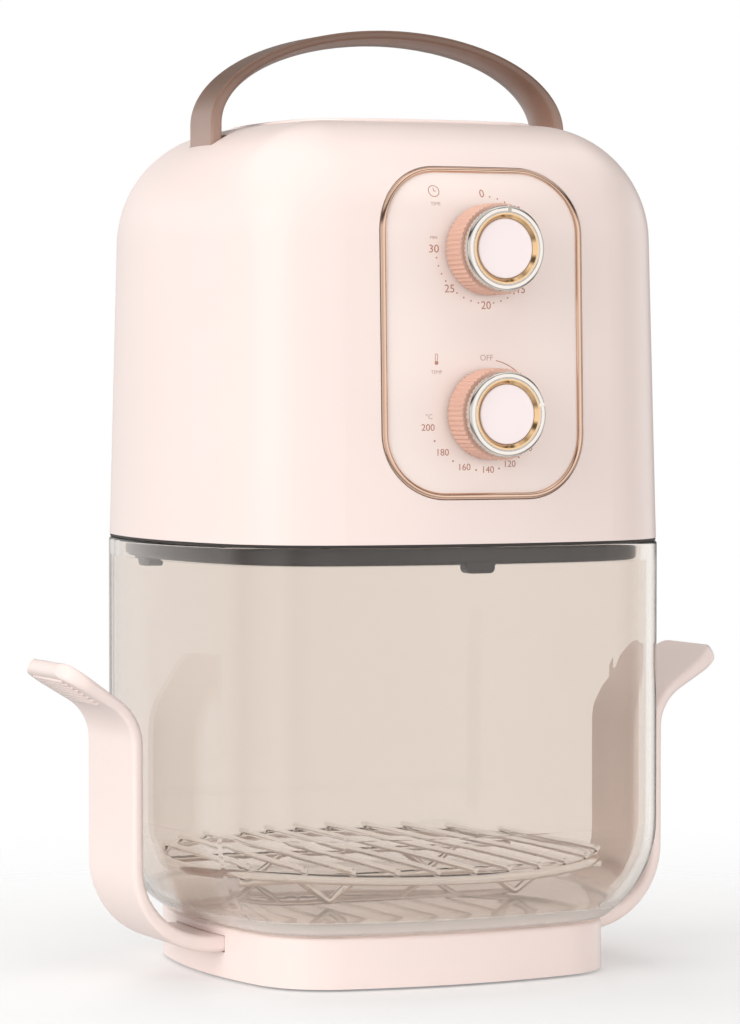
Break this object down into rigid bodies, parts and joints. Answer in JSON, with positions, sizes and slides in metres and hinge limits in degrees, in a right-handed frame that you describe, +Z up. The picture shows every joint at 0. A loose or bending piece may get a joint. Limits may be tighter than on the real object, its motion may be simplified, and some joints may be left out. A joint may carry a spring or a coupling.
{
  "type": "glass-bowl air fryer",
  "caption": "Countertop air fryer: rounded square head with two dials and a carry arch, on a lift-out glass bowl with a wire rack, in a low cradle with ear handles.",
  "frame": {"origin": "on the supporting surface, under the middle of the appliance's overall box", "axes": "+Z up, -Y is the front with the dials, +X is the right-hand side seen from the front"},
  "size_m": [0.2876, 0.2329, 0.3715],
  "materials": {
    "body_plastic": "satin moulded plastic, pale pink",
    "fascia_plastic": "smooth satin plastic, pale pink",
    "handle_plastic": "soft satin, taupe brown",
    "dark_plastic": "black heat-resistant plastic",
    "rubber": "moulded rubber",
    "silicone": "matt silicone",
    "glass": "clear heat-resistant glass",
    "rack_steel": "polished stainless wire",
    "bezel_metal": "rose-gold plating",
    "knob_copper": "satin copper-coloured moulding",
    "knob_chrome": "bright plating",
    "knob_inlay": "glossy pale pink",
    "steel": "zinc-plated steel",
    "dish_metal": "pressed sheet",
    "element_metal": "oxidised sheathed element",
    "brass": "plain",
    "copper": "drawn copper tube",
    "ceramic": "unglazed",
    "mica": "pressed mica sheet",
    "lamination": "stacked electrical steel",
    "coil": "enamelled copper winding",
    "cast_metal": "die cast",
    "wire_sleeve": "glass-fibre sleeve"
  },
  "bodies": {
    "base": {"base_ring": "body_plastic", "base_plate": "dark_plastic", "base_feet": "rubber", "base_screws": "steel", "bowl_pads": "silicone", "ear_right": "body_plastic", "ear_left": "body_plastic", "ear_screws": "steel"},
    "bowl": {"glass_bowl": "glass"},
    "rack": {"rack_ring": "rack_steel", "rack_rods": "rack_steel", "rack_bearers": "rack_steel"},
    "head": {"head_shell": "body_plastic", "top_cap": "body_plastic", "carry_handle": "handle_plastic", "control_fascia": "fascia_plastic", "panel_bezel": "bezel_metal", "control_bracket": "steel", "bracket_screws": "steel", "timer_module": "steel", "timer_bell": "brass", "thermostat_body": "ceramic", "thermostat_capillary": "copper", "lower_housing": "dark_plastic", "rim_gasket": "silicone", "case_screws": "steel", "reflector_dish": "dish_metal", "reflector_screws": "steel", "heating_element": "element_metal", "element_terminals": "ceramic", "guard_grille": "rack_steel", "insulation_ring": "mica", "motor_plate": "steel", "plate_screws": "steel", "motor_stator": "lamination", "motor_coil": "coil", "motor_brackets": "cast_metal", "motor_bearings": "brass", "motor_screws": "steel", "thermal_fuse": "ceramic", "microswitch_body": "dark_plastic", "terminal_block": "ceramic", "wiring": "wire_sleeve", "rear_vent_cover": "body_plastic", "vent_screws": "steel", "cord_gland": "rubber"},
    "fan": {"motor_shaft": "steel", "motor_rotor": "lamination", "hot_fan": "dish_metal", "hot_fan_nut": "steel", "cooling_fan": "dish_metal"},
    "timer_knob": {"timer_knob_skirt": "knob_copper", "timer_knob_ring": "knob_chrome", "timer_knob_disc": "knob_inlay", "timer_shaft": "steel"},
    "thermostat_knob": {"thermostat_knob_skirt": "knob_copper", "thermostat_knob_ring": "knob_chrome", "thermostat_knob_disc": "knob_inlay", "thermostat_shaft": "steel"},
    "plunger": {"interlock_plunger": "dark_plastic"}
  },
  "joints": [
    {"name": "bowl_lift", "type": "slide", "parent": "base", "child": "bowl", "axis": [0, 0, 1], "range_m": [0, 0.16]},
    {"name": "head_lift", "type": "slide", "parent": "bowl", "child": "head", "axis": [0, 0, 1], "range_m": [0, 0.3]},
    {"name": "rack_lift", "type": "slide", "parent": "bowl", "child": "rack", "axis": [0, 0, 1], "range_m": [0, 0.15]},
    {"name": "timer_turn", "type": "hinge", "parent": "head", "child": "timer_knob", "pos_m": [0, -0.1, 0.2825], "axis": [0, 1, 0], "range_deg": [-5, 265]},
    {"name": "thermostat_turn", "type": "hinge", "parent": "head", "child": "thermostat_knob", "pos_m": [0, -0.1, 0.2203], "axis": [0, 1, 0], "range_deg": [-76, 182]},
    {"name": "fan_spin", "type": "hinge", "parent": "head", "child": "fan", "pos_m": [0, 0, 0.22], "axis": [0, 0, 1], "continuous": true},
    {"name": "plunger_press", "type": "slide", "parent": "head", "child": "plunger", "axis": [0, 0, 1], "range_m": [0, 0.002], "stiffness_N_per_m": 100}
  ],
  "couplings": [
    {"joint": "rack_lift", "follows": "head_lift", "ratio": 0.5}
  ]
}
